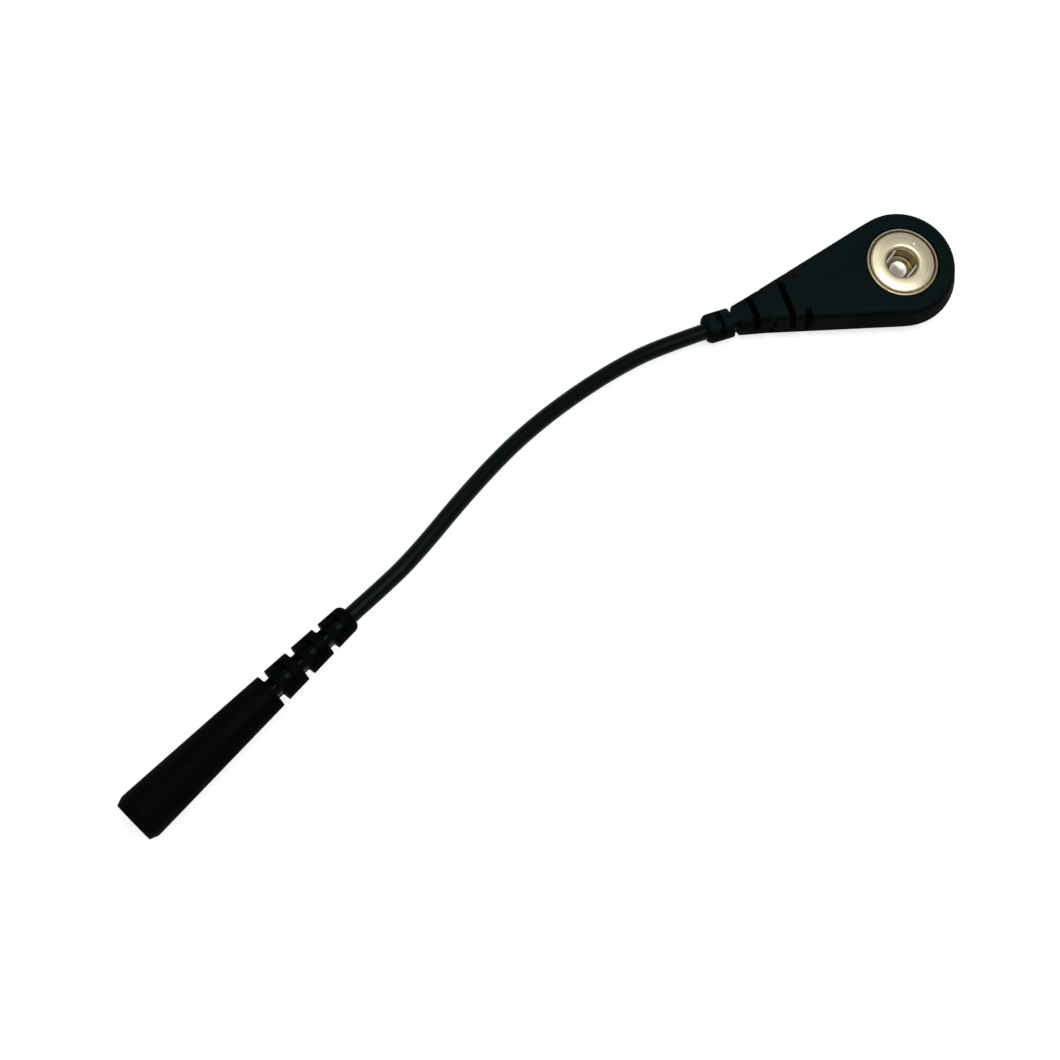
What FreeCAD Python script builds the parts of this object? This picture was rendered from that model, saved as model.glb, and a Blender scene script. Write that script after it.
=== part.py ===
"""Snap-to-socket adapter lead: a press-stud socket moulded into a flat teardrop head, a short two-part
cord, and an in-line socket for a 4 mm plug.  Millimetres, +Z up.

The origin is on the head's underside, straight below the snap's axis.  +X runs from the head's nose
to the snap, so the cord leaves the head towards -X and the socket lies beyond it.
"""
import FreeCAD, Part
import math
import os

V = FreeCAD.Vector

# ---- clearances -------------------------------------------------------------------------------
mould_gap = 0.05          # between a moulding and a hard piece that it holds
crimp_gap = 0.02          # between a barrel, or the jacket, and the wire in it
ring_gap = 0.15           # round the snap's bead, in the head's counterbore
spring_lift = 0.02        # between a spring wire and the ledge that it slides on

# ---- cord -------------------------------------------------------------------------------------
cord_diameter = 2.25
conductor_diameter = 1.1
cord_straight = 4.75      # from the head's nose to the first corner of the cord's route
cord_route = [            # the corners after that one
    (-44.64, -2.09, 2.95),
    (-57.19, -6.64, 4.4),
    (-67.28, -12.26, 5.6),
    (-78.02, -19.09, 6.4),
]
cord_bend_share = 0.45    # share of the shorter run that an arc takes up on each side of a point

# ---- head moulding ----------------------------------------------------------------------------
head_radius = 8.21        # at the mould's parting plane, which is level with the cord's axis
head_length = 29.03       # snap axis to the nose's end
side_draft = 14.6         # degrees, parting plane to top
foot_inset = 0.8          # parting plane to foot
collar_radius = 2.05      # round end of the strain relief, where the flanks end
collar_length = 4.6
neck_fall = 4.2           # run in which the neck drops and turns round
head_top_round = 1.1
head_foot_round = 0.5
neck_top_round = 1.2
neck_foot_round = 0.6
nose_round = 0.9
under_cover = 0.9         # soft moulding below the carrier
cord_axis_z = 2.1

# ---- head strain relief -----------------------------------------------------------------------
relief_count = 3          # side notches, and slots across the top between them
relief_pitch = 4.725
nose_to_slot = 2.07       # nose's end to the first slot
nose_to_notch = 4.26      # nose's end to the first pair of notches
head_notch_width = 1.0
head_notch_inner = (0.75, 2.2, 2.4)   # centre line to each pair's inner ends, from the nose
head_notch_floor = 0.28   # the notches are closed below this height
head_slot_width = 0.9
head_slot_floor = 2.9
cutter_round = 0.2

# ---- snap socket ------------------------------------------------------------------------------
sheet = 0.3               # thickness of the formed brass
bead_radius = 5.0         # outside of the upturned rim
bead_width = 0.4
channel_radius = 4.2      # room for the spring wires under the cap
cup_radius = 2.2
throat_radius = 2.15      # the hole that the stud's head enters
cap_crest_radius = 3.7
cap_crest_rise = 0.1      # crest of the cap above the rim
ledge_height = 1.65       # ledge above the cup's floor
channel_height = 1.0      # ledge to the flange that the cap sits on
rim_height = 0.4          # flange to the top of the rim
cap_lip_fall = 0.22       # crest of the cap down to the throat's lip
cap_lip_round = 0.38
throat_gap = 0.08         # between the cap's throat and the wires below it

rivet_head_radius = 1.39
rivet_head_height = 0.4
rivet_shank_radius = 0.7
rivet_tail_radius = 1.2
rivet_tail_height = 0.5
tongue_thickness = 0.3

# ---- snap springs -----------------------------------------------------------------------------
spring_wire = 0.5         # diameter
spring_grip = 1.55        # from the snap axis to a leg's near side
spring_travel = 0.3       # how far a stud's head pushes each wire out
spring_room = 0.14        # left between a wire's tip and the channel's wall at full travel
spring_angle = 33.6       # degrees from +X
spring_bend = 0.55
spring_bend_angle = 70.0
spring_tail = 0.45

# ---- inside the head --------------------------------------------------------------------------
carrier_wall = 0.9        # round the snap's channel
carrier_floor = 0.35
carrier_tail = 1.9        # half-width of the carrier's tail
barrel_radius = 0.85
strap_span = 2.2          # cup to barrel
barrel_length = 2.5
lead_span = 0.8           # bare lead at each end of the resistor
lead_diameter = 0.5
resistor_length = 3.2
resistor_radius = 0.85
resistor_waist = 0.75
resistor_cap = 0.8        # length of each end cap
splice_length = 2.2
bare_conductor = 0.4      # between the jacket's end and a barrel

# ---- socket end -------------------------------------------------------------------------------
socket_nose = V(-88.06, -23.91, 5.92)
socket_heading = 25.57    # degrees, mouth to nose
socket_pitch = 4.0        # degrees, nose up
socket_length = 37.55
socket_relief = 13.85     # length of the strain relief
contact_bore = 4.0
contact_wall = 0.3
contact_recess = 1.5
contact_depth = 14.8      # of the bore
contact_end_wall = 0.4
stop_ring_height = 0.3
stop_ring_width = 0.6
contact_barrel_radius = 1.15
contact_barrel = 4.2
bush_wall = 0.4
bush_recess = 0.35
bush_end = 8.0
bush_lip_radius = 2.2
mouth_cover = 0.62        # soft moulding round the bush at the mouth
mouth_edge = 0.12         # what is left of it at the very end
mouth_run = 1.15          # length in which it swells to the full width
mouth_round = 1.2
shoulder_radius = 2.48
socket_nose_radius = 1.9
mouth_inner_round = 0.25
socket_nose_round = 0.95

# ---- socket strain relief ---------------------------------------------------------------------
gate_pitch = 4.53
first_gate = 0.44         # body's end to the first pair of side gates
gate_width = 1.1
gate_bite = 0.1           # how far the gates bare the jacket's sides
gate_count = 3
eye_length = 0.95         # opening over the jacket, between the two gates of a pair
eye_half_width = 0.6
window_offset = 2.2       # from a gate to the window after it
window_width = 1.05
window_web = 0.32         # moulding left at each side of a window
window_floor = 0.45       # half-height of the band left between the top and bottom windows

# ---- worked out from the above ----------------------------------------------------------------
cord_radius = cord_diameter / 2
conductor_radius = conductor_diameter / 2
lead_radius = lead_diameter / 2
carrier_bottom = under_cover
tail_bottom = carrier_bottom + carrier_floor
tongue_bottom = tail_bottom + rivet_tail_height
cup_bottom = tongue_bottom + tongue_thickness
cup_floor = cup_bottom + sheet
ledge_top = cup_floor + ledge_height
flange_top = ledge_top + channel_height
head_height = flange_top + rim_height
channel_outer = channel_radius + sheet
carrier_top = ledge_top - sheet
throat_bottom = ledge_top + spring_lift + spring_wire + throat_gap
collar_start = head_length - collar_length
fall_start = collar_start - neck_fall
flank_angle = math.atan2(collar_start, collar_radius) - math.acos(
    head_radius / math.hypot(collar_start, collar_radius))
top_inset = (head_height - cord_axis_z) * math.tan(math.radians(side_draft))
barrel_start = cup_radius + sheet + strap_span
barrel_end = barrel_start + barrel_length
resistor_start = barrel_end + lead_span
resistor_end = resistor_start + resistor_length
splice_start = resistor_end + lead_span
splice_end = splice_start + splice_length
splice_step = (splice_start + splice_end) / 2
jacket_in_head = splice_end + bare_conductor
contact_radius = contact_bore / 2 + contact_wall
contact_end = contact_recess + contact_depth
contact_back = contact_end + contact_end_wall
contact_tail_end = contact_back + contact_barrel
bush_radius = contact_radius + mould_gap + bush_wall
mouth_radius = bush_radius + mould_gap + mouth_cover
jacket_in_socket = contact_tail_end + bare_conductor
socket_body = socket_length - socket_relief


# ---- shapes -----------------------------------------------------------------------------------
def rounded_wire(corners, place):
    """Closed outline through corners (a, b, radius), each corner an arc of its radius."""
    count = len(corners)
    flat = [V(a, b, 0) for a, b, _ in corners]
    starts, ends, middles = [], [], []
    for i, (_, _, radius) in enumerate(corners):
        here = flat[i]
        back = (flat[i - 1] - here).normalize()
        ahead = (flat[(i + 1) % count] - here).normalize()
        if radius == 0:
            starts.append(here)
            ends.append(here)
            middles.append(None)
            continue
        half = back.getAngle(ahead) / 2
        reach = radius / math.tan(half)
        centre = here + (back + ahead).normalize() * (radius / math.sin(half))
        starts.append(here + back * reach)
        ends.append(here + ahead * reach)
        middles.append(centre + (here - centre).normalize() * radius)
    edges = []
    for i in range(count):
        if middles[i] is not None:
            edges.append(Part.Arc(place(starts[i]), place(middles[i]), place(ends[i])).toShape())
        following = starts[(i + 1) % count]
        if (following - ends[i]).Length > 1e-6:
            edges.append(Part.LineSegment(place(ends[i]), place(following)).toShape())
    return Part.Wire(edges)


def turned_z(corners):
    """Solid of revolution about the Z axis from corners (radius, height, rounding)."""
    face = Part.Face(rounded_wire(corners, lambda p: V(p.x, 0, p.y)))
    return face.revolve(V(0, 0, 0), V(0, 0, 1), 360)


def turned_x(corners):
    """Solid of revolution about the X axis from corners (station, radius, rounding)."""
    face = Part.Face(rounded_wire(corners, lambda p: V(p.x, 0, p.y)))
    return face.revolve(V(0, 0, 0), V(1, 0, 0), 360)


def rod(start, end, radius, height=0.0):
    """Cylinder along X between two stations, with its axis at a height."""
    low, high = min(start, end), max(start, end)
    return Part.makeCylinder(radius, high - low, V(low, 0, height), V(1, 0, 0))


def plan_block(corners, bottom, top):
    """Outline of corners (x, y, rounding), raised from bottom to top."""
    face = Part.Face(rounded_wire(corners, lambda p: V(p.x, p.y, bottom)))
    return face.extrude(V(0, 0, top - bottom))


def side_block(corners, half_width):
    """Outline of corners (x, z, rounding), as wide as twice half_width across Y."""
    face = Part.Face(rounded_wire(corners, lambda p: V(p.x, -half_width, p.y)))
    return face.extrude(V(0, 2 * half_width, 0))


def box(x, y, z):
    """Box from three (low, high) pairs."""
    return Part.makeBox(x[1] - x[0], y[1] - y[0], z[1] - z[0], V(x[0], y[0], z[0]))


def swept(path, radius):
    """Round rod along a path of lines and tangent arcs."""
    first = path.OrderedEdges[0]
    start = path.OrderedVertexes[0].Point
    along = first.tangentAt(first.FirstParameter)
    ring = Part.Wire(Part.Circle(start, along, radius).toShape())
    return path.makePipeShell([ring], True, False)


def bent_path(points):
    """Straight runs joined by tangent arcs, each as large as its two runs allow."""
    edges, radii = [], []
    at = points[0]
    for before, corner, after in zip(points, points[1:], points[2:]):
        back, ahead = before - corner, after - corner
        reach = cord_bend_share * min(back.Length, ahead.Length)
        half_turn = (math.pi - back.getAngle(ahead)) / 2
        radius = reach / math.tan(half_turn)
        enter = corner + back.normalize() * reach
        leave = corner + ahead.normalize() * reach
        inward = (back + ahead).normalize()
        middle = corner + inward * (radius / math.cos(half_turn) - radius)
        edges.append(Part.LineSegment(at, enter).toShape())
        edges.append(Part.Arc(enter, middle, leave).toShape())
        radii.append(radius)
        at = leave
    edges.append(Part.LineSegment(at, points[-1]).toShape())
    return Part.Wire(edges), radii


def mirrored(corners):
    """Corners on the +Y side, from nose to head, completed by the same on the other side."""
    return corners + [(x, -y, r) for x, y, r in reversed(corners)]


# ---- head moulding ----------------------------------------------------------------------------
def flank(distance, inset=0.0):
    """Half-width of the flank at a distance from the snap axis, at a plane set in from the widest one."""
    return (head_radius - inset - distance * math.sin(flank_angle)) / math.cos(flank_angle)


def head_half_width(distance):
    return max(flank(distance), collar_radius)


def drafted(low, low_inset, high, high_inset):
    """Teardrop between two heights: a cone with two flat flanks that touch it and narrow to the neck."""
    rings = []
    for height, inset in ((low, low_inset), (high, high_inset)):
        radius = head_radius - inset
        touch = V(-radius * math.sin(flank_angle), radius * math.cos(flank_angle), height)
        end = V(-fall_start, flank(fall_start, inset), height)
        rings.append([touch, end, V(end.x, -end.y, height), V(touch.x, -touch.y, height)])
    below, above = rings
    outlines = [below, above]
    for i in range(4):
        outlines.append([below[i - 1], below[i], above[i], above[i - 1]])
    faces = [Part.Face(Part.makePolygon(outline + outline[:1])) for outline in outlines]
    wedge = Part.makeSolid(Part.makeShell(faces))
    cone = Part.makeCone(head_radius - low_inset, head_radius - high_inset, high - low, V(0, 0, low))
    return cone.fuse(wedge).removeSplitter()


def section(distance, bottom, foot_half, foot, widest, top, top_half, crown):
    """Six-sided outline across the neck, widest level with the cord, with rounded corners."""
    return rounded_wire([
        (-foot_half, bottom, foot),
        (foot_half, bottom, foot),
        (widest, cord_axis_z, 0),
        (top_half, top, crown),
        (-top_half, top, crown),
        (-widest, cord_axis_z, 0),
    ], lambda p: V(-distance, p.x, p.y))


def head_blank():
    """Outer form: drafted teardrop with rounded edges, a neck that drops, and a round collar."""
    upper = drafted(cord_axis_z, 0, head_height, top_inset)
    body = upper.fuse(drafted(0, foot_inset, cord_axis_z, 0))
    end = -fall_start + 1e-3
    edges = [e for e in body.Edges if e.BoundBox.ZMin > head_height - 0.01 and e.BoundBox.XMax > end]
    body = body.makeFillet(head_top_round, edges)
    edges = [e for e in body.Edges if e.BoundBox.ZMax < 0.01 and e.BoundBox.XMax > end]
    body = body.makeFillet(head_foot_round, edges)
    low, high = cord_axis_z - collar_radius, cord_axis_z + collar_radius
    nearly = collar_radius - 0.03
    neck = Part.makeLoft([
        section(fall_start, 0, flank(fall_start, foot_inset), neck_foot_round, flank(fall_start),
                head_height, flank(fall_start, top_inset), neck_top_round),
        section(collar_start, low, collar_radius, nearly, collar_radius, high, collar_radius, nearly),
    ], True, True)
    collar = turned_x([
        (-head_length, 0, 0),
        (-head_length, collar_radius, nose_round),
        (-collar_start + 0.3, collar_radius, 0),
        (-collar_start + 0.3, 0, 0),
    ])
    collar.translate(V(0, 0, cord_axis_z))
    return body.fuse([neck, collar]).removeSplitter()


def head_relief_cuts():
    """Side notches closed at the foot, and slots across the top that bare the jacket."""
    cuts = []
    for i in range(relief_count):
        distance = head_length - nose_to_notch - i * relief_pitch
        reach = head_half_width(distance) + 1
        inner = head_notch_inner[i]
        low, high = -distance - head_notch_width / 2, -distance + head_notch_width / 2
        for side in (1, -1):
            cuts.append(plan_block([
                (low, side * inner, cutter_round),
                (high, side * inner, cutter_round),
                (high, side * reach, 0),
                (low, side * reach, 0),
            ], head_notch_floor, head_height + 1))
    for i in range(relief_count):
        distance = head_length - nose_to_slot - i * relief_pitch
        low, high = -distance - head_slot_width / 2, -distance + head_slot_width / 2
        cuts.append(side_block([
            (low, head_slot_floor, cutter_round),
            (high, head_slot_floor, cutter_round),
            (high, head_height + 1, 0),
            (low, head_height + 1, 0),
        ], head_half_width(distance) + 1))
    return cuts


def carrier_block(grow):
    """Envelope of the inner carrier, larger by grow all round."""
    round_part = Part.makeCylinder(
        channel_outer + carrier_wall + grow, carrier_top - carrier_bottom + 2 * grow,
        V(0, 0, carrier_bottom - grow))
    tail = box((-splice_end - grow, 0), (-carrier_tail - grow, carrier_tail + grow),
               (carrier_bottom - grow, carrier_top + grow))
    return round_part.fuse(tail).removeSplitter()


def head_overmould():
    snap_room = [
        Part.makeCylinder(bead_radius + ring_gap, head_height, V(0, 0, flange_top - sheet - mould_gap)),
        Part.makeCylinder(channel_outer + mould_gap, head_height, V(0, 0, carrier_top - mould_gap)),
    ]
    cord_room = rod(-jacket_in_head, -head_length - 1, cord_radius + crimp_gap, cord_axis_z)
    wire_room = rod(-splice_end + 0.5, -jacket_in_head, conductor_radius + crimp_gap, cord_axis_z)
    body = head_blank().cut(snap_room + head_relief_cuts())
    return body.cut([carrier_block(mould_gap), cord_room, wire_room])


# ---- snap socket ------------------------------------------------------------------------------
def snap_base():
    """Formed cup with a ledge for the springs, a flange, and an upturned rim."""
    return turned_z([
        (rivet_shank_radius + crimp_gap, cup_floor, 0),
        (cup_radius, cup_floor, 0.2),
        (cup_radius, ledge_top, 0.12),
        (channel_radius, ledge_top, 0),
        (channel_radius, flange_top, 0),
        (bead_radius - bead_width, flange_top, 0),
        (bead_radius - bead_width, head_height, bead_width * 0.45),
        (bead_radius, head_height, bead_width * 0.45),
        (bead_radius, flange_top - sheet, 0),
        (channel_outer, flange_top - sheet, 0),
        (channel_outer, ledge_top - sheet, 0),
        (cup_radius + sheet, ledge_top - sheet, 0),
        (cup_radius + sheet, cup_bottom, sheet),
        (rivet_shank_radius + crimp_gap, cup_bottom, 0),
    ])


def snap_cap():
    """Domed ring that closes the spring channel, rolled down into the throat."""
    crest = head_height + cap_crest_rise
    lip = crest - cap_lip_fall
    return turned_z([
        (channel_outer, flange_top, 0),
        (channel_outer, head_height, 0.33),
        (cap_crest_radius, crest + 0.03, 1.5),
        (throat_radius, lip, cap_lip_round),
        (throat_radius, throat_bottom, 0),
        (throat_radius + sheet, throat_bottom, 0),
        (throat_radius + sheet, lip - sheet, 0.1),
        (cap_crest_radius, crest - sheet, 0),
        (channel_radius, head_height - sheet, 0),
        (channel_radius, flange_top, 0),
    ])


def snap_rivet():
    """Headed rivet through the cup's floor and the terminal's tongue, peened below."""
    head_top = cup_floor + rivet_head_height
    return turned_z([
        (0, head_top, 0),
        (rivet_head_radius, head_top, 0.25),
        (rivet_head_radius, cup_floor, 0),
        (rivet_shank_radius, cup_floor, 0),
        (rivet_shank_radius, tongue_bottom, 0),
        (rivet_tail_radius, tongue_bottom, 0),
        (rivet_tail_radius, tail_bottom, 0),
        (0, tail_bottom, 0),
    ])


def spring_wire_shape(turn):
    """One wire: a straight leg across the cup, both ends bent outwards along the channel."""
    bend = math.radians(spring_bend_angle)
    leg_y = spring_grip + spring_wire / 2
    end_y = leg_y + spring_bend * (1 - math.cos(bend))
    tip_y = end_y + spring_tail * math.sin(bend)
    tip_reach = channel_radius - spring_room - spring_wire / 2
    tip_x = math.sqrt(tip_reach ** 2 - (tip_y + spring_travel) ** 2)
    end_x = tip_x - spring_tail * math.cos(bend)
    leg_x = end_x - spring_bend * math.sin(bend)
    half_x = leg_x + spring_bend * math.sin(bend / 2)
    half_y = leg_y + spring_bend * (1 - math.cos(bend / 2))
    height = ledge_top + spring_lift + spring_wire / 2

    def point(x, y):
        return V(x, y, height)

    path = Part.Wire([
        Part.LineSegment(point(-tip_x, tip_y), point(-end_x, end_y)).toShape(),
        Part.Arc(point(-end_x, end_y), point(-half_x, half_y), point(-leg_x, leg_y)).toShape(),
        Part.LineSegment(point(-leg_x, leg_y), point(leg_x, leg_y)).toShape(),
        Part.Arc(point(leg_x, leg_y), point(half_x, half_y), point(end_x, end_y)).toShape(),
        Part.LineSegment(point(end_x, end_y), point(tip_x, tip_y)).toShape(),
    ])
    wire = swept(path, spring_wire / 2)
    wire.rotate(V(0, 0, 0), V(0, 0, 1), spring_angle + turn)
    return wire


# ---- inside the head --------------------------------------------------------------------------
def terminal_block(grow):
    """Tongue under the cup and the barrel behind it, as one pressed piece."""
    ring = Part.makeCylinder(rivet_head_radius + 0.5 + grow, tongue_thickness + 2 * grow,
                             V(0, 0, tongue_bottom - grow))
    strap = box((-barrel_start - barrel_length / 4, 0), (-barrel_radius - grow, barrel_radius + grow),
                (tongue_bottom - grow, cup_bottom + grow))
    barrel = rod(-barrel_end - grow, -barrel_start + grow, barrel_radius + grow, cord_axis_z)
    return ring.fuse([strap, barrel]).removeSplitter()


def snap_terminal():
    hole = Part.makeCylinder(rivet_shank_radius + crimp_gap, head_height)
    hole_end = -barrel_start - 0.4
    wire_hole = rod(-barrel_end - 1, hole_end, lead_radius + crimp_gap, cord_axis_z)
    seam = box((-barrel_end - 1, hole_end), (-0.06, 0.06), (cord_axis_z, head_height))
    return terminal_block(0).cut([hole, wire_hole, seam])


def resistor_body():
    """Small axial resistor: waisted body with a swelling over each end cap."""
    slope = 0.25
    body = turned_x([
        (-resistor_end, 0, 0),
        (-resistor_end, resistor_radius, 0.25),
        (-resistor_end + resistor_cap, resistor_radius, 0),
        (-resistor_end + resistor_cap + slope, resistor_waist, 0),
        (-resistor_start - resistor_cap - slope, resistor_waist, 0),
        (-resistor_start - resistor_cap, resistor_radius, 0),
        (-resistor_start, resistor_radius, 0.25),
        (-resistor_start, 0, 0),
    ])
    body.translate(V(0, 0, cord_axis_z))
    return body


def resistor_lead_front():
    return rod(-resistor_start, -barrel_start - 0.5, lead_radius, cord_axis_z)


def resistor_lead_rear():
    return rod(-resistor_end, -splice_step + 0.1, lead_radius, cord_axis_z)


def splice_ferrule():
    """Stepped barrel: the resistor's lead in one end, the cord's conductor in the other."""
    body = rod(-splice_end, -splice_start, barrel_radius, cord_axis_z)
    lead_hole = rod(-splice_step, -splice_start + 1, lead_radius + crimp_gap, cord_axis_z)
    wire_hole = rod(-splice_end - 1, -splice_step, conductor_radius + crimp_gap, cord_axis_z)
    return body.cut([lead_hole, wire_hole])


def inner_carrier():
    """Hard inner moulding that holds the snap's base, terminal, resistor and splice."""
    rooms = [
        Part.makeCylinder(cup_radius + sheet + mould_gap, head_height, V(0, 0, cup_bottom - mould_gap)),
        Part.makeCylinder(rivet_tail_radius + mould_gap, rivet_tail_height + 2 * mould_gap,
                          V(0, 0, tail_bottom - mould_gap)),
        terminal_block(mould_gap),
        rod(-resistor_end - mould_gap, -resistor_start + mould_gap, resistor_radius + mould_gap, cord_axis_z),
        rod(-barrel_end, -splice_start, lead_radius + mould_gap, cord_axis_z),
        rod(-splice_end - 1, -splice_start + mould_gap, barrel_radius + mould_gap, cord_axis_z),
    ]
    return carrier_block(0).cut(rooms)


# ---- socket end, drawn along +X from its mouth, then laid in place ------------------------------
def laid(shape):
    """Turn a piece of the socket end to its heading and pitch, with the nose where it lies."""
    turn = FreeCAD.Rotation(V(0, 0, 1), socket_heading).multiply(
        FreeCAD.Rotation(V(0, 1, 0), -socket_pitch))
    mouth = socket_nose - turn.multVec(V(socket_length, 0, 0))
    placed = shape.copy()
    placed.Placement = FreeCAD.Placement(mouth, turn).multiply(shape.Placement)
    return placed


def socket_point(station):
    """Point on the socket's axis at a station from the mouth."""
    turn = FreeCAD.Rotation(V(0, 0, 1), socket_heading).multiply(
        FreeCAD.Rotation(V(0, 1, 0), -socket_pitch))
    return socket_nose + turn.multVec(V(station - socket_length, 0, 0))


def socket_radius(station):
    """Outside radius of the tapered body and of the relief behind it."""
    if station <= socket_body:
        return mouth_radius + (shoulder_radius - mouth_radius) * station / socket_body
    share = (station - socket_body) / (socket_length - socket_body)
    return shoulder_radius + (socket_nose_radius - shoulder_radius) * share


def socket_relief_cuts():
    """Gates through from both sides, eyes between them, and windows at top and bottom after them."""
    cuts = []
    reach = mouth_radius
    inner = cord_radius - gate_bite
    for i in range(gate_count):
        gate = socket_body + first_gate + i * gate_pitch
        low, high = gate - gate_width / 2, gate + gate_width / 2
        for side in (1, -1):
            cuts.append(plan_block([
                (low, side * inner, cutter_round),
                (high, side * inner, cutter_round),
                (high, side * reach, 0),
                (low, side * reach, 0),
            ], -reach, reach))
        window = gate + window_offset
        openings = [
            (gate, eye_length, eye_half_width, cord_radius * 0.8),
            (window, window_width, socket_radius(window) - window_web, window_floor),
        ]
        for station, length, half, floor in openings:
            low, high = station - length / 2, station + length / 2
            for side in (1, -1):
                cuts.append(side_block([
                    (low, side * floor, cutter_round),
                    (high, side * floor, cutter_round),
                    (high, side * reach, 0),
                    (low, side * reach, 0),
                ], half))
    return cuts


def socket_overmould():
    """Tapered soft body with a ladder strain relief, moulded round the contact and the cord."""
    blank = turned_x([
        (0, 0, 0),
        (0, bush_radius + mould_gap + mouth_edge, 0.08),
        (mouth_run, socket_radius(mouth_run), mouth_round),
        (socket_body, shoulder_radius, 4.0),
        (socket_length, socket_nose_radius, socket_nose_round),
        (socket_length, 0, 0),
    ])
    ring_start = bush_end + mould_gap
    room = turned_x([
        (-1, 0, 0),
        (-1, bush_radius + mould_gap, 0),
        (bush_end + mould_gap, bush_radius + mould_gap, 0),
        (bush_end + mould_gap, contact_radius + stop_ring_height + mould_gap, 0),
        (ring_start + stop_ring_width + mould_gap, contact_radius + stop_ring_height + mould_gap, 0),
        (ring_start + stop_ring_width + mould_gap, contact_radius + mould_gap, 0),
        (contact_back + mould_gap, contact_radius + mould_gap, 0),
        (contact_back + mould_gap, contact_barrel_radius + mould_gap, 0),
        (contact_tail_end + mould_gap, contact_barrel_radius + mould_gap, 0),
        (contact_tail_end + mould_gap, conductor_radius + crimp_gap, 0),
        (jacket_in_socket, conductor_radius + crimp_gap, 0),
        (jacket_in_socket, cord_radius + crimp_gap, 0),
        (socket_length + 1, cord_radius + crimp_gap, 0),
        (socket_length + 1, 0, 0),
    ])
    return blank.cut([room] + socket_relief_cuts())


def mouth_bush():
    """Hard ring that shrouds the contact at the mouth."""
    return turned_x([
        (bush_recess, bush_lip_radius, mouth_inner_round),
        (bush_recess, bush_radius, 0),
        (bush_end, bush_radius, 0),
        (bush_end, contact_radius + mould_gap, 0),
        (contact_recess, contact_radius + mould_gap, 0),
        (contact_recess, bush_lip_radius, 0),
    ])


def socket_contact():
    """Turned contact: plug bore, stop ring behind the bush, and a barrel for the conductor."""
    bore = contact_bore / 2
    ring_start = bush_end + mould_gap
    ring_radius = contact_radius + stop_ring_height
    return turned_x([
        (contact_recess, bore + 0.15, 0),
        (contact_recess, contact_radius, 0),
        (ring_start, contact_radius, 0),
        (ring_start, ring_radius, 0),
        (ring_start + stop_ring_width, ring_radius, 0),
        (ring_start + stop_ring_width, contact_radius, 0),
        (contact_back, contact_radius, 0.25),
        (contact_back, contact_barrel_radius, 0),
        (contact_tail_end, contact_barrel_radius, 0),
        (contact_tail_end, conductor_radius + crimp_gap, 0),
        (contact_back + 0.6, conductor_radius + crimp_gap, 0),
        (contact_back + 0.6, 0, 0),
        (contact_end, 0, 0),
        (contact_end, bore, 0),
        (contact_recess + 0.15, bore, 0),
    ])


# ---- cord -------------------------------------------------------------------------------------
def cord_path(start, end):
    """The free route with both ends carried straight on into the mouldings."""
    inside_head = V(start, 0, cord_axis_z)
    first = V(-head_length - cord_straight, 0, cord_axis_z)
    route = [V(*point) for point in cord_route]
    outside_nose = socket_point(socket_length + 5.0)
    return bent_path([inside_head, first] + route + [outside_nose, socket_point(end)])


def cord_jacket():
    outer_path, radii = cord_path(-jacket_in_head, jacket_in_socket)
    inner_path, _ = cord_path(-jacket_in_head + 0.5, jacket_in_socket - 0.5)
    tube = swept(outer_path, cord_radius).cut(swept(inner_path, conductor_radius + crimp_gap))
    print("cord: jacket length %.2f mm, bend radii %s" % (
        outer_path.Length, ", ".join("%.1f" % r for r in radii)))
    section = math.pi * (cord_radius ** 2 - (conductor_radius + crimp_gap) ** 2)
    print("cord: jacket volume %.3f, section times length %.3f" % (
        tube.Volume, section * outer_path.Length))
    return tube


def cord_conductor():
    path, _ = cord_path(-splice_step - 0.05, contact_back + 0.65)
    return swept(path, conductor_radius)


# ---- write ------------------------------------------------------------------------------------
pieces = {
    "head_overmould": head_overmould,
    "inner_carrier": inner_carrier,
    "snap_cap": snap_cap,
    "snap_base": snap_base,
    "snap_rivet": snap_rivet,
    "snap_terminal": snap_terminal,
    "spring_wire_left": lambda: spring_wire_shape(0),
    "spring_wire_right": lambda: spring_wire_shape(180),
    "resistor_body": resistor_body,
    "resistor_lead_front": resistor_lead_front,
    "resistor_lead_rear": resistor_lead_rear,
    "splice_ferrule": splice_ferrule,
    "cord_jacket": cord_jacket,
    "cord_conductor": cord_conductor,
    "socket_overmould": lambda: laid(socket_overmould()),
    "mouth_bush": lambda: laid(mouth_bush()),
    "socket_contact": lambda: laid(socket_contact()),
}

os.makedirs("parts", exist_ok=True)
for name, make in pieces.items():
    shape = make()
    print("%-18s solids %d valid %s volume %.3f z %.3f" % (
        name, len(shape.Solids), shape.isValid(), shape.Volume, shape.BoundBox.ZMin))
    shape.exportStep("parts/%s.step" % name)
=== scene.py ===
"""Looks for a snap-to-socket adapter lead: black mouldings, plated snap, free cord, and the studio round them.

Everything is in metres in the model's own frame: the origin is on the head's underside below the snap's axis,
+X runs from the head's nose to the snap, and +Z comes out of the snap's throat. Sizes given in mm are multiplied
by MM where they are used.
"""
import math

import bpy
import numpy as np
from mathutils import Matrix, Vector


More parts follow.
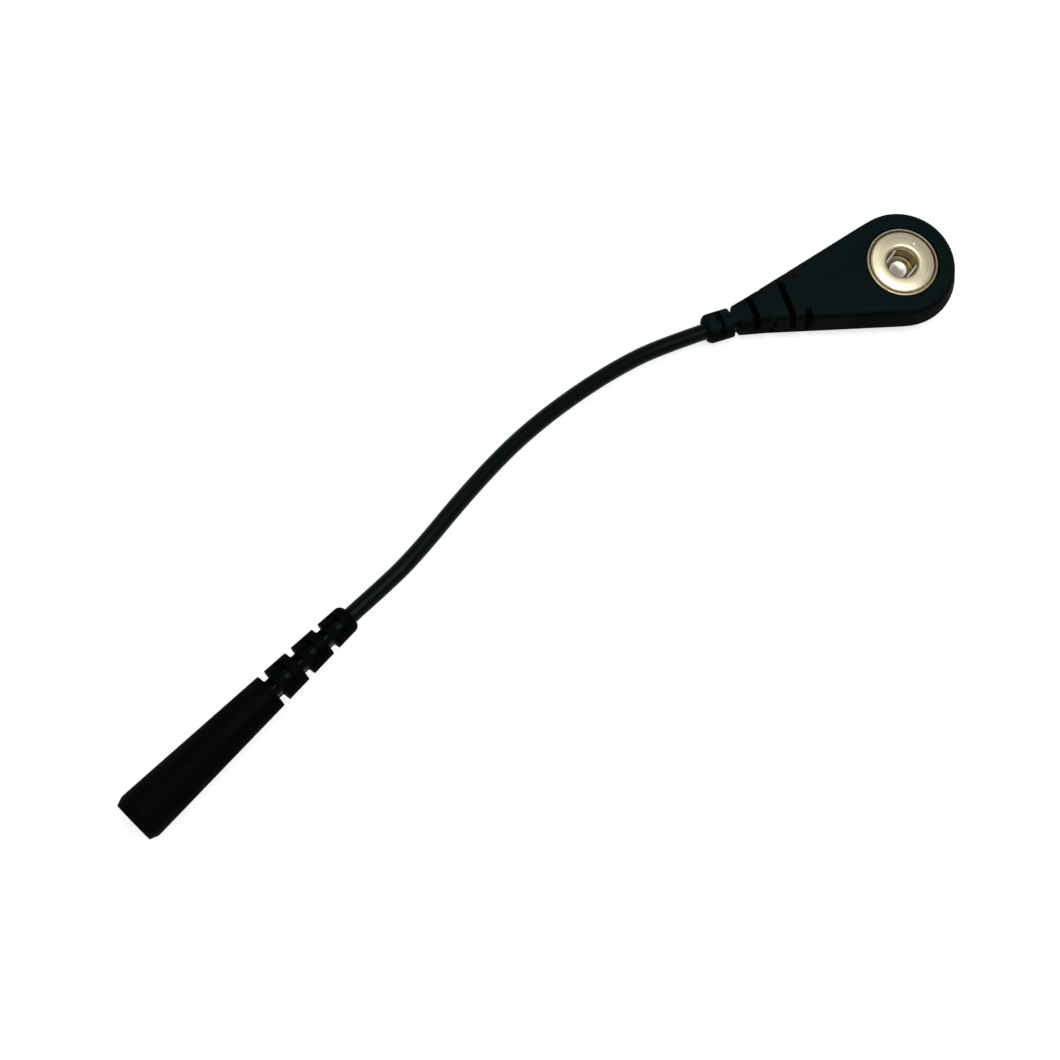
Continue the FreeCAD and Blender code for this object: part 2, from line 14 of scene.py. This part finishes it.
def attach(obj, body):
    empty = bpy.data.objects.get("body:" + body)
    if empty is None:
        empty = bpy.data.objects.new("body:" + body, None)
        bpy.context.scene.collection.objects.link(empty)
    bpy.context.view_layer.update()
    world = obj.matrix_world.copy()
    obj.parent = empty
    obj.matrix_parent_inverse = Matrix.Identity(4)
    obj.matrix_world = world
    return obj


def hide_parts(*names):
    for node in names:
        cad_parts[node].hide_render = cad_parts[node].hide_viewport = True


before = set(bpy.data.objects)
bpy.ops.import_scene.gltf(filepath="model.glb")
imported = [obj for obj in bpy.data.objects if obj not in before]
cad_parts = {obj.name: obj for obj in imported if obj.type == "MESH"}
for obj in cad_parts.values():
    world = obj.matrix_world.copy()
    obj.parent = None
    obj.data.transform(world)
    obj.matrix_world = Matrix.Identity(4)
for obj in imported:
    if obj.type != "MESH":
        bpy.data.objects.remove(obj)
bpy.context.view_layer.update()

MM = 0.001

# ---- sizes, in mm and degrees ---------------------------------------------------------------------
cap_crest = 2.62                                # radius at which the cap is highest
cap_roll = 1.08                                 # width of the steeper fall outside the crest
cap_seam = 1.84                                 # crest to the cap's outer edge, where painted shade sits on the far half
groove_shade_radii = (4.40, 4.44, 4.74, 4.80)         # painted shade in the groove inside the rim: it starts, is full, ends, is gone
pip_centre = (2.66, 2.13, 5.45)
pip_along, pip_outward, pip_up = 0.38, 0.28, 0.11    # half sizes of the pip
cord_radius = 1.125
cord_axis = 2.1                                 # height of the cord's axis in the head
socket_nose = (-88.06, -23.91, 5.92)
socket_heading, socket_pitch = 25.57, -4.0

# Small sinks and flash specks on the head, each (x, y, radius, stretch, angle, depth).
head_marks = (
    (2.6, 4.75, 0.10, 1.6, -25, 0.06),          # specks round the snap
    (3.25, 4.45, 0.08, 1.4, -30, 0.05),
    (4.72, 3.1, 0.09, 1.3, -40, 0.06),
    (5.05, 2.7, 0.08, 1.6, -50, 0.05),
    (5.3, 2.25, 0.09, 1.3, -60, 0.06),
    (-15.3, 2.53, 0.16, 1.2, 10, 0.12),         # pair of sinks beside the strain relief
    (-15.78, 2.6, 0.11, 1.2, 10, 0.10),
    (0.6, -5.42, 0.16, 4.5, 8, 0.10),           # long dent on the other side of the snap
)


# ---- shader maths ---------------------------------------------------------------------------------
class Flow:
    """A node's output; arithmetic on it adds the Math nodes that work it out."""

    def __init__(self, nodes, socket):
        self.nodes, self.socket = nodes, socket

    def _math(self, operation, *values):
        return self.nodes.node("ShaderNodeMath", {"operation": operation}, *values)

    def __add__(self, other): return self._math("ADD", self, other)
    def __radd__(self, other): return self._math("ADD", other, self)
    def __sub__(self, other): return self._math("SUBTRACT", self, other)
    def __rsub__(self, other): return self._math("SUBTRACT", other, self)
    def __mul__(self, other): return self._math("MULTIPLY", self, other)
    def __rmul__(self, other): return self._math("MULTIPLY", other, self)
    def __truediv__(self, other): return self._math("DIVIDE", self, other)
    def __pow__(self, other): return self._math("POWER", self, other)
    def least(self, other): return self._math("MINIMUM", self, other)
    def most(self, other): return self._math("MAXIMUM", self, other)

    def between(self, low, high, start=0.0, end=1.0):
        """start below low, end above high, and a smooth step from one to the other."""
        return self.nodes.node(
            "ShaderNodeMapRange", {"interpolation_type": "SMOOTHSTEP"}, self, low, high, start, end)

    def other(self, out):
        """Another output of the same node, by name or number."""
        return Flow(self.nodes, self.socket.node.outputs[out])


class Nodes:
    """A node tree, and the one way in which nodes are added to it."""

    def __init__(self, tree):
        self.tree = tree

    def node(self, kind, settings=None, *values, out=0):
        """Adds a node: its settings first, then values or links for its sockets.

        values go to the sockets in order; the setting "sockets" gives them by name or number instead.
        """
        settings = dict(settings or {})
        sockets = [*enumerate(values), *settings.pop("sockets", {}).items()]
        made = self.tree.nodes.new(kind)
        for key, value in settings.items():
            setattr(made, key, value)
        for index, value in sockets:
            self.join(made.inputs[index], value)
        return Flow(self, made.outputs[out]) if made.outputs else None

    def join(self, socket, value):
        """Links a Flow to a socket or sets a plain value on it; None leaves the socket alone."""
        if isinstance(value, Flow):
            self.tree.links.new(value.socket, socket)
        elif value is not None:
            socket.default_value = value

    def axes(self, vector):
        """The x, y and z of a vector."""
        x = self.node("ShaderNodeSeparateXYZ", None, vector)
        return x, x.other(1), x.other(2)


class Finish(Nodes):
    """One material: a Principled shader and the nodes that feed it."""

    def __init__(self, name, **plain):
        self.material = bpy.data.materials.new(name)
        self.material.use_nodes = True
        super().__init__(self.material.node_tree)
        self.shader = next(n for n in self.tree.nodes if n.type == "BSDF_PRINCIPLED")
        for socket, value in plain.items():
            self.shader.inputs[socket.replace("_", " ")].default_value = value
        self.place = self.node("ShaderNodeTexCoord", out="Object")

    def feed(self, name, value):
        """Feeds one of the shader's own sockets."""
        self.join(self.shader.inputs[name], value)

    def noise(self, scale, detail=2.0, rough=0.5):
        """Noise from 0 to 1 with scale features to the metre."""
        return self.node("ShaderNodeTexNoise", {"sockets": {
            "Vector": self.place, "Scale": scale, "Detail": detail, "Roughness": rough}})

    def facing_up(self):
        """1 on a face that looks straight up, 0 on a wall."""
        return self.axes(self.node("ShaderNodeNewGeometry", out="Normal"))[2]

    def from_snap(self):
        """Plan coordinates and height in metres, and the distance from the snap's axis in mm."""
        east, north, up = self.axes(self.place)
        return east, north, up, (east * east + north * north) ** 0.5 / MM

    def blend(self, amount, first, second):
        """Colour that goes from first to second as amount goes from 0 to 1."""
        first, second = (c if isinstance(c, Flow) else (*c, 1.0) for c in (first, second))
        return self.node("ShaderNodeMix", {
            "data_type": "RGBA", "sockets": {0: amount, 6: first, 7: second}}, out=2)

    def relief(self, height, distance, strength=1.0, under=None):
        """Bump that rises by height times a distance in metres, over the bump under it."""
        return self.node("ShaderNodeBump", {"sockets": {
            "Strength": strength, "Distance": distance, "Height": height, "Normal": under}})

    def dress(self, *nodes):
        """Puts the material on the named nodes of the frame."""
        for name in nodes:
            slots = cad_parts[name].data.materials
            slots.clear()
            slots.append(self.material)


# ---- finishes -------------------------------------------------------------------------------------
def spot(f, x, y, radius, soft=0.35, stretch=1.0, angle=0.0):
    """1 within an ellipse on the plan round (x, y) in mm, fading to 0 at its edge.

    The ellipse's half axes are radius * stretch along the angle and radius across it.
    """
    east, north, _ = f.axes(f.place)
    cos, sin = math.cos(math.radians(angle)), math.sin(math.radians(angle))
    along = (east * cos + north * sin - (x * cos + y * sin) * MM) / (radius * stretch * MM)
    across = (north * cos - east * sin - (y * cos - x * sin) * MM) / (radius * MM)
    return 1.0 - ((along * along + across * across) ** 0.5).between(1.0 - soft, 1.0)


def moulded(name, top, shaded_side, tone=None, shine=0.57, shaded_below=0.0, marks=()):
    """Soft PVC out of a spark-eroded mould: satin, with painted light on its upward faces and painted shade on its
    walls.

    top is the colour of the upward faces, the plastic painted as lit, and the next colour that of the walls, the
    same plastic painted in shade; tone is the one that clouds the top. Below the given height, in mm, the upward
    faces keep the wall colour, a painted shade on the floors of slots and notches, and the lower walls lean
    towards the top colour, a painted reflection of the floor. marks are as in head_marks. The resistor's coat has
    the same finish in its own colours.
    """
    f = Finish(name, IOR=1.1, Specular_IOR_Level=shine)
    smudge = f.noise(190.0, 3.0, 0.55).between(0.40, 0.66)
    grain = f.noise(9000.0, rough=0.6)
    swell = f.noise(420.0)
    height = f.axes(f.place)[2]
    facing = f.facing_up().between(0.62, 0.985)
    # Upward faces above the given height take the top colour, a painted highlight; the floors of slots and notches
    # below it keep the wall colour, a painted shade.
    up = facing * height.between((shaded_below - 0.2) * MM, (shaded_below + 0.2) * MM)
    # Lower walls lean towards the top colour: a painted reflection of the floor.
    painted_foot_sheen = (1.0 - height.between(0.8 * MM, 2.6 * MM)) * (1.0 - facing)
    wall = f.blend(painted_foot_sheen * 0.6, shaded_side, top)
    colour = f.blend(up, wall, f.blend(smudge * 0.6, top, tone or top))
    skin = f.relief(grain, 6e-6, 0.5, f.relief(swell, 4e-5, 0.35))
    for x, y, radius, stretch, angle, depth in marks:
        dent = spot(f, x, y, radius, 0.8, stretch, angle)
        colour = f.blend(dent * 0.85, colour, shaded_side)
        skin = f.relief(dent, -depth * MM, under=skin)
    f.feed("Base Color", colour)
    f.feed("Roughness", 0.68 - 0.22 * up + 0.10 * smudge + 0.06 * grain)
    f.feed("Normal", skin)
    return f


def extruded_black():
    """The cord's PVC: smoother than the mouldings, with a faint waver, dull patches and a painted sheen on its
    upper side.
    """
    f = Finish("cord_pvc", IOR=1.1, Specular_IOR_Level=0.9)
    dull = f.noise(300.0).between(0.4, 0.7)
    up = f.facing_up().between(0.35, 0.95)
    # Upward faces are painted lighter than the sides, a painted sheen; dull patches weaken it.
    f.feed("Base Color", f.blend(up * (1.0 - 0.4 * dull), (0.0001, 0.0004, 0.0003), (0.0009, 0.0040, 0.0040)))
    f.feed("Roughness", 0.22 + 0.10 * dull)
    f.feed("Normal", f.relief(f.noise(700.0), 2e-5, 0.35))
    return f


def plated(name, colour, dark, rough=0.28):
    """Plated or bare metal from its bright colour to a dark one: faintly clouded, with a slight waver."""
    f = Finish(name, Metallic=1.0)
    cloud = f.noise(900.0, 3.0, 0.55).between(0.3, 0.75)
    f.colour = f.blend(cloud, colour, dark)
    f.feed("Base Color", f.colour)
    f.feed("Roughness", rough + 0.10 * cloud)
    f.feed("Normal", f.relief(f.noise(1500.0), 1e-5, 0.3))
    return f


def far_side_shade(east, north, out):
    """Share of painted shade at a place round the snap: 0 towards (-0.6, -0.8) on the plan, the camera's side, 1
    on the far half.
    """
    return ((0.6 * east + 0.8 * north) / (out * MM)).between(-0.75, 0.1)


def cap_plate():
    """The snap's cap: satin champagne plate, rolled over gently outward and sharply into the throat.

    Its crown falls from the crest by 0.062 of the square of the way outward and by 0.55 of the square of the
    way inward; outward it also falls by 0.15 per mm across cap_roll, and comes back by 0.10 per mm after it.
    """
    f = plated("cap_plate", (0.78, 0.71, 0.50), (0.72, 0.645, 0.445))
    east, north, _, out = f.from_snap()
    past = out - cap_crest
    outer, inner = past.most(0.0), past.least(0.0)
    roll, rest = outer.least(cap_roll), (outer - cap_roll).most(0.0)
    crown = 2.0 - 0.062 * (outer * outer) - 0.15 * roll + 0.10 * rest - 0.55 * (inner * inner)
    # Painted shade on the cap's outer edge, in a dark brown, on the half away from the camera.
    edge = (outer - cap_seam).between(0.0, 0.12)
    painted_shade = edge * far_side_shade(east, north, outer + cap_crest)
    f.feed("Base Color", f.blend(painted_shade * 0.8, f.colour, (0.36, 0.31, 0.19)))
    grain = f.noise(16000.0, rough=0.6)
    f.feed("Normal", f.relief(grain, 4e-6, 0.35, f.relief(crown, MM)))
    return f


def rim_plate():
    """The snap's base: painted shade in the groove and deep in the throat, a painted golden reflection in the
    throat, and plate worn to brass at a few nicks on the rim.
    """
    f = plated("rim_plate", (0.52, 0.46, 0.31), (0.44, 0.38, 0.24))
    east, north, up, out = f.from_snap()
    inside = 1.0 - out.between(2.3, 2.6)
    # Painted shade deep in the throat, below 4.3 mm.
    throat_shade = inside * (1.0 - up.between(4.3 * MM, 4.9 * MM))
    # Painted golden reflection on one side of the throat.
    painted_gold_reflection = spot(f, 2.1, 0.2, 0.8, 0.8) * inside
    nick = spot(f, 1.95, 4.62, 0.22).most(spot(f, 2.42, -4.37, 0.28)).most(spot(f, -3.86, -3.13, 0.26))
    # Painted shade in the groove inside the rim, stronger on the half away from the camera.
    starts, full, ends, gone = groove_shade_radii
    groove = out.between(starts, full) * (1.0 - out.between(ends, gone))
    painted_shade = groove * (0.25 + 0.75 * far_side_shade(east, north, out))
    colour = f.blend(throat_shade, f.colour, (0.25, 0.21, 0.13))
    colour = f.blend(painted_gold_reflection * 0.8, colour, (0.50, 0.40, 0.12))
    colour = f.blend(painted_shade, colour, (0.16, 0.12, 0.07))
    f.feed("Base Color", f.blend(nick, colour, (0.50, 0.23, 0.05)))
    return f


def rivet_plate():
    """The rivet's head: dished as 0.09 of the square of the way from its middle, which has a darker colour."""
    f = plated("rivet_plate", (0.80, 0.76, 0.64), (0.72, 0.67, 0.54), 0.19)
    out = f.from_snap()[3]
    middle = 1.0 - out.between(0.5, 1.0)
    f.feed("Base Color", f.blend(middle, f.colour, (0.56, 0.52, 0.42)))
    f.feed("Normal", f.relief(0.09 * (out * out), MM))
    return f


# In each moulding the top colour is the plastic painted as lit and the wall colour the same plastic painted in
# shade.
head_pvc = moulded("head_pvc", top=(0.0009, 0.0068, 0.0066), shaded_side=(0.0002, 0.0012, 0.0009),
                   tone=(0.0040, 0.0062, 0.0074), shaded_below=3.2, marks=head_marks)
socket_pvc = moulded("socket_pvc", top=(0.0004, 0.0009, 0.0014), shaded_side=(0.0001, 0.0004, 0.0003),
                     tone=(0.0010, 0.0015, 0.0020), shine=0.35)
carrier_pvc = moulded("carrier_pvc", top=(0.0010, 0.0018, 0.0018), shaded_side=(0.0005, 0.0010, 0.0010))
resistor_coat = moulded("resistor_coat", top=(0.55, 0.42, 0.26), shaded_side=(0.50, 0.38, 0.23))
cap_finish = cap_plate()
spring_steel = plated("spring_steel", (0.72, 0.69, 0.60), (0.58, 0.55, 0.46), 0.3)
contact_nickel = plated("contact_nickel", (0.72, 0.70, 0.65), (0.58, 0.56, 0.50))
tin_plate = plated("tin_plate", (0.62, 0.62, 0.60), (0.5, 0.5, 0.48), 0.4)
copper_strand = plated("copper_strand", (0.72, 0.38, 0.24), (0.5, 0.25, 0.15), 0.35)

head_pvc.dress("head_overmould")
socket_pvc.dress("socket_overmould")
carrier_pvc.dress("inner_carrier", "mouth_bush")
resistor_coat.dress("resistor_body")
cap_finish.dress("snap_cap")
rim_plate().dress("snap_base")
rivet_plate().dress("snap_rivet")
spring_steel.dress("spring_wire_left", "spring_wire_right")
contact_nickel.dress("socket_contact")
tin_plate.dress("snap_terminal", "resistor_lead_front", "resistor_lead_rear", "splice_ferrule")
copper_strand.dress("cord_conductor", "cord_jacket")


# ---- pip on the cap -------------------------------------------------------------------------------
def raised_pip():
    """Low ellipsoid sunk half into the cap, closed by a fan of triangles at each pole.

    Its points are centre + pip_along cos u sin v along the rim + pip_outward sin u sin v outward
    + pip_up cos v upward, in mm, with u going round it and v from its top to its bottom.
    """
    around, down = 32, 14
    centre, up = np.array(pip_centre), np.array([0.0, 0.0, 1.0])
    outward = np.array([centre[0], centre[1], 0.0]) / math.hypot(centre[0], centre[1])
    along = np.cross(up, outward)
    v, u = (a[..., None] for a in np.meshgrid(np.arange(1, down) * math.pi / down,
                                              np.arange(around) * 2 * math.pi / around, indexing="ij"))
    rings = (centre + pip_along * np.cos(u) * np.sin(v) * along + pip_outward * np.sin(u) * np.sin(v) * outward
             + pip_up * np.cos(v) * up)
    points = np.vstack([rings.reshape(-1, 3), centre + pip_up * up, centre - pip_up * up]) * MM

    row, step = np.meshgrid(np.arange(down - 2), np.arange(around), indexing="ij")
    here, after = row * around + step, row * around + (step + 1) % around
    quads = np.stack([here, after, after + around, here + around], -1).reshape(-1, 4)
    first, second = np.arange(around), (np.arange(around) + 1) % around
    top, bottom, last = len(points) - 2, len(points) - 1, (down - 2) * around
    fans = np.vstack([np.stack([np.full(around, top), second, first], -1),
                      np.stack([np.full(around, bottom), first + last, second + last], -1)])

    data = bpy.data.meshes.new("cap_pip")
    data.from_pydata(points.tolist(), [], quads.tolist() + fans.tolist())
    data.shade_smooth()
    data.materials.append(cap_finish.material)
    piece = bpy.data.objects.new("cap_pip", data)
    bpy.context.scene.collection.objects.link(piece)
    return piece


pip = raised_pip()
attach(pip, "lead")


# ---- cord -----------------------------------------------------------------------------------------
def socket_axis_point(past_nose):
    """Point on the socket's axis, so many mm out of its nose towards the head."""
    heading, pitch = math.radians(socket_heading), math.radians(socket_pitch)
    along = Vector((math.cos(heading) * math.cos(pitch), math.sin(heading) * math.cos(pitch), -math.sin(pitch)))
    return Vector(socket_nose) + along * past_nose


def lay_cord():
    """The cord along its free route, with both ends carried straight on into the mouldings."""
    route = [(-14.6, 0, cord_axis), (-33.78, 0, cord_axis), (-44.64, -2.09, 2.95), (-57.19, -6.64, 4.4),
             (-67.28, -12.26, 5.6), (-77.92, -19.29, 6.4), (-83.46, -21.98, 6.27),
             socket_axis_point(-1.2), socket_axis_point(-16.25)]
    data = bpy.data.curves.new("free_cord", "CURVE")
    data.dimensions = "3D"
    line = data.splines.new("NURBS")
    line.points.add(len(route) - 1)
    for point, place in zip(line.points, route):
        point.co = (*(v * MM for v in place), 1.0)
    line.order_u = 3
    line.use_endpoint_u = True
    line.resolution_u = 24
    data.bevel_depth = cord_radius * MM
    data.bevel_resolution = 8
    data.use_fill_caps = True
    data.materials.append(extruded_black().material)
    piece = bpy.data.objects.new("free_cord", data)
    bpy.context.scene.collection.objects.link(piece)
    return piece


cord = lay_cord()
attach(cord, "lead")
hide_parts("cord_jacket", "cord_conductor")


# ---- studio ---------------------------------------------------------------------------------------
def studio_floor(reach=20.0, drop=2e-5, grey=0.62):
    """Wide pale floor, just below the object, that keeps its soft shadow.

    The rays that see the background itself, which are the camera's and those mirrored or passed through, get
    as much again from its glow, and see it white.
    """
    data = bpy.data.meshes.new("floor")
    corners = [(-reach, -reach), (reach, -reach), (reach, reach), (-reach, reach)]
    data.from_pydata([(x, y, -drop) for x, y in corners], [], [(0, 1, 2, 3)])
    material = bpy.data.materials.new("floor_white")
    material.use_nodes = True
    nodes = Nodes(material.node_tree)
    nodes.tree.nodes.clear()
    ray = nodes.node("ShaderNodeLightPath", out="Is Camera Ray")
    sees_background = ray.most(ray.other("Is Glossy Ray")).most(ray.other("Is Transmission Ray"))
    matte = nodes.node("ShaderNodeBsdfDiffuse", None, (grey, grey, grey, 1))
    glow = nodes.node("ShaderNodeEmission", {"sockets": {"Strength": sees_background * grey}})
    nodes.node("ShaderNodeOutputMaterial", None, nodes.node("ShaderNodeAddShader", None, matte, glow))
    data.materials.append(material)
    floor = bpy.data.objects.new("floor", data)
    bpy.context.scene.collection.objects.link(floor)


def studio_world():
    """White round the horizon, as the walls of a light tent, and dimmer overhead."""
    world = bpy.data.worlds.new("studio")
    bpy.context.scene.world = world
    world.use_nodes = True
    nodes = Nodes(world.node_tree)
    height = nodes.axes(nodes.node("ShaderNodeTexCoord", out="Generated"))[2]
    background = nodes.tree.nodes["Background"].inputs
    nodes.join(background["Strength"], height.between(0.06, 0.36, 1.0, 0.42))
    nodes.join(background["Color"], (1, 1, 1, 1))


def lamp(name, place, size, power, aim=(-0.06, -0.02, 0)):
    """Rectangular lamp with its power in watts, turned to the middle of the lead."""
    data = bpy.data.lights.new(name, "AREA")
    data.shape = "RECTANGLE"
    data.size, data.size_y = size
    data.energy = power
    light = bpy.data.objects.new(name, data)
    light.location = place
    light.rotation_euler = (Vector(aim) - Vector(place)).to_track_quat("-Z", "Y").to_euler()
    bpy.context.scene.collection.objects.link(light)


def studio_camera():
    """Camera from a direction, a distance and a roll about its own line of sight."""
    azimuth, elevation, roll = (math.radians(a) for a in (232.7481, 71.5605, 18.1338))
    target, distance = Vector((-61.0289, -18.8142, 0)) * MM, 0.32
    away = Vector((math.cos(elevation) * math.cos(azimuth), math.cos(elevation) * math.sin(azimuth),
                   math.sin(elevation)))
    level = (-away).cross(Vector((0, 0, 1))).normalized()
    rise = level.cross(-away)
    right = math.cos(roll) * level + math.sin(roll) * rise
    up = math.cos(roll) * rise - math.sin(roll) * level
    data = bpy.data.cameras.new("camera")
    data.sensor_width, data.lens = 36.0, 81.8979
    data.clip_start, data.clip_end = 0.01, 20.0
    camera = bpy.data.objects.new("camera", data)
    turn = Matrix((right, up, away)).transposed().to_4x4()
    camera.matrix_world = Matrix.Translation(target + distance * away) @ turn
    bpy.context.scene.collection.objects.link(camera)
    bpy.context.scene.camera = camera


studio_floor()
studio_world()
lamp("softbox", place=(-0.03, -0.12, 0.87), size=(0.72, 0.72), power=4.4)
lamp("strip", place=(0.0, 0.47, 0.75), size=(0.20, 0.12), power=0.22)
studio_camera()
bpy.context.scene.view_settings.view_transform = "Standard"
